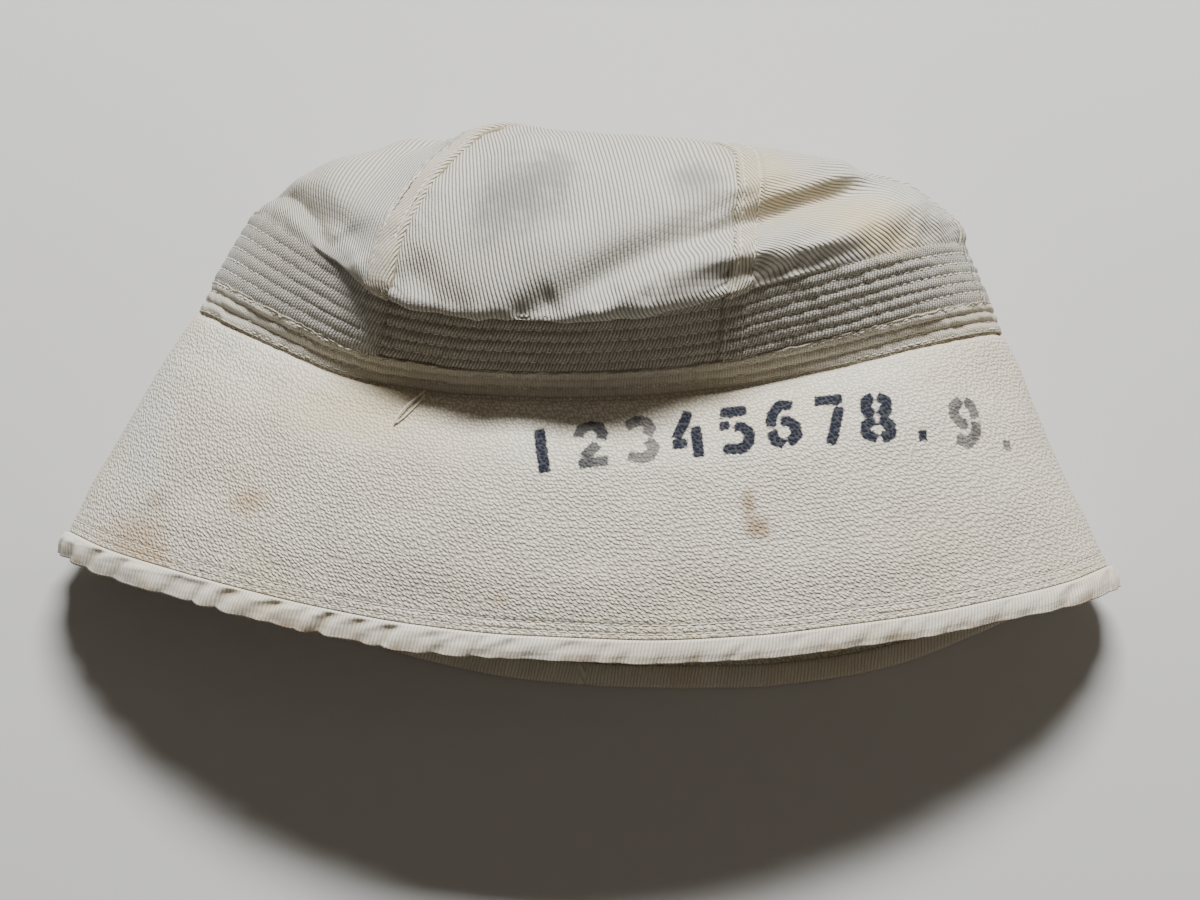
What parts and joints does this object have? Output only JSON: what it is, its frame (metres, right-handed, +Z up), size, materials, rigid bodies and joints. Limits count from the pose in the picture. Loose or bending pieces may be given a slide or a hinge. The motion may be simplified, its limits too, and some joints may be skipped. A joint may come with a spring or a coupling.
{
  "type": "sailor cap",
  "caption": "Soft white cotton sailor cap with a gored crown, stitched band, binding tape and turned-down flared brim, lying on its back, part flattened.",
  "frame": {"origin": "on the table under the middle of the lying cap", "axes": "+X across the cap, fold to fold, to the right as pictured; +Y from the mouth up to the crown; +Z up from the table"},
  "size_m": [0.351, 0.1744, 0.1166],
  "materials": {
    "crown_cotton": "white cotton twill, matt, lightly soiled",
    "tape_cotton": "folded cotton tape, matt, aged to cream",
    "brim_cotton": "pebbly woven cotton, matt, aged, stained",
    "hem_cotton": "twill edge binding, matt, puckered"
  },
  "bodies": {
    "root": {"crown_gore_1": "crown_cotton", "crown_gore_2": "crown_cotton", "crown_gore_3": "crown_cotton", "crown_gore_4": "crown_cotton", "crown_gore_5": "crown_cotton", "crown_gore_6": "crown_cotton", "binding_tape": "tape_cotton", "brim": "brim_cotton", "brim_hem": "hem_cotton"}
  },
  "joints": []
}
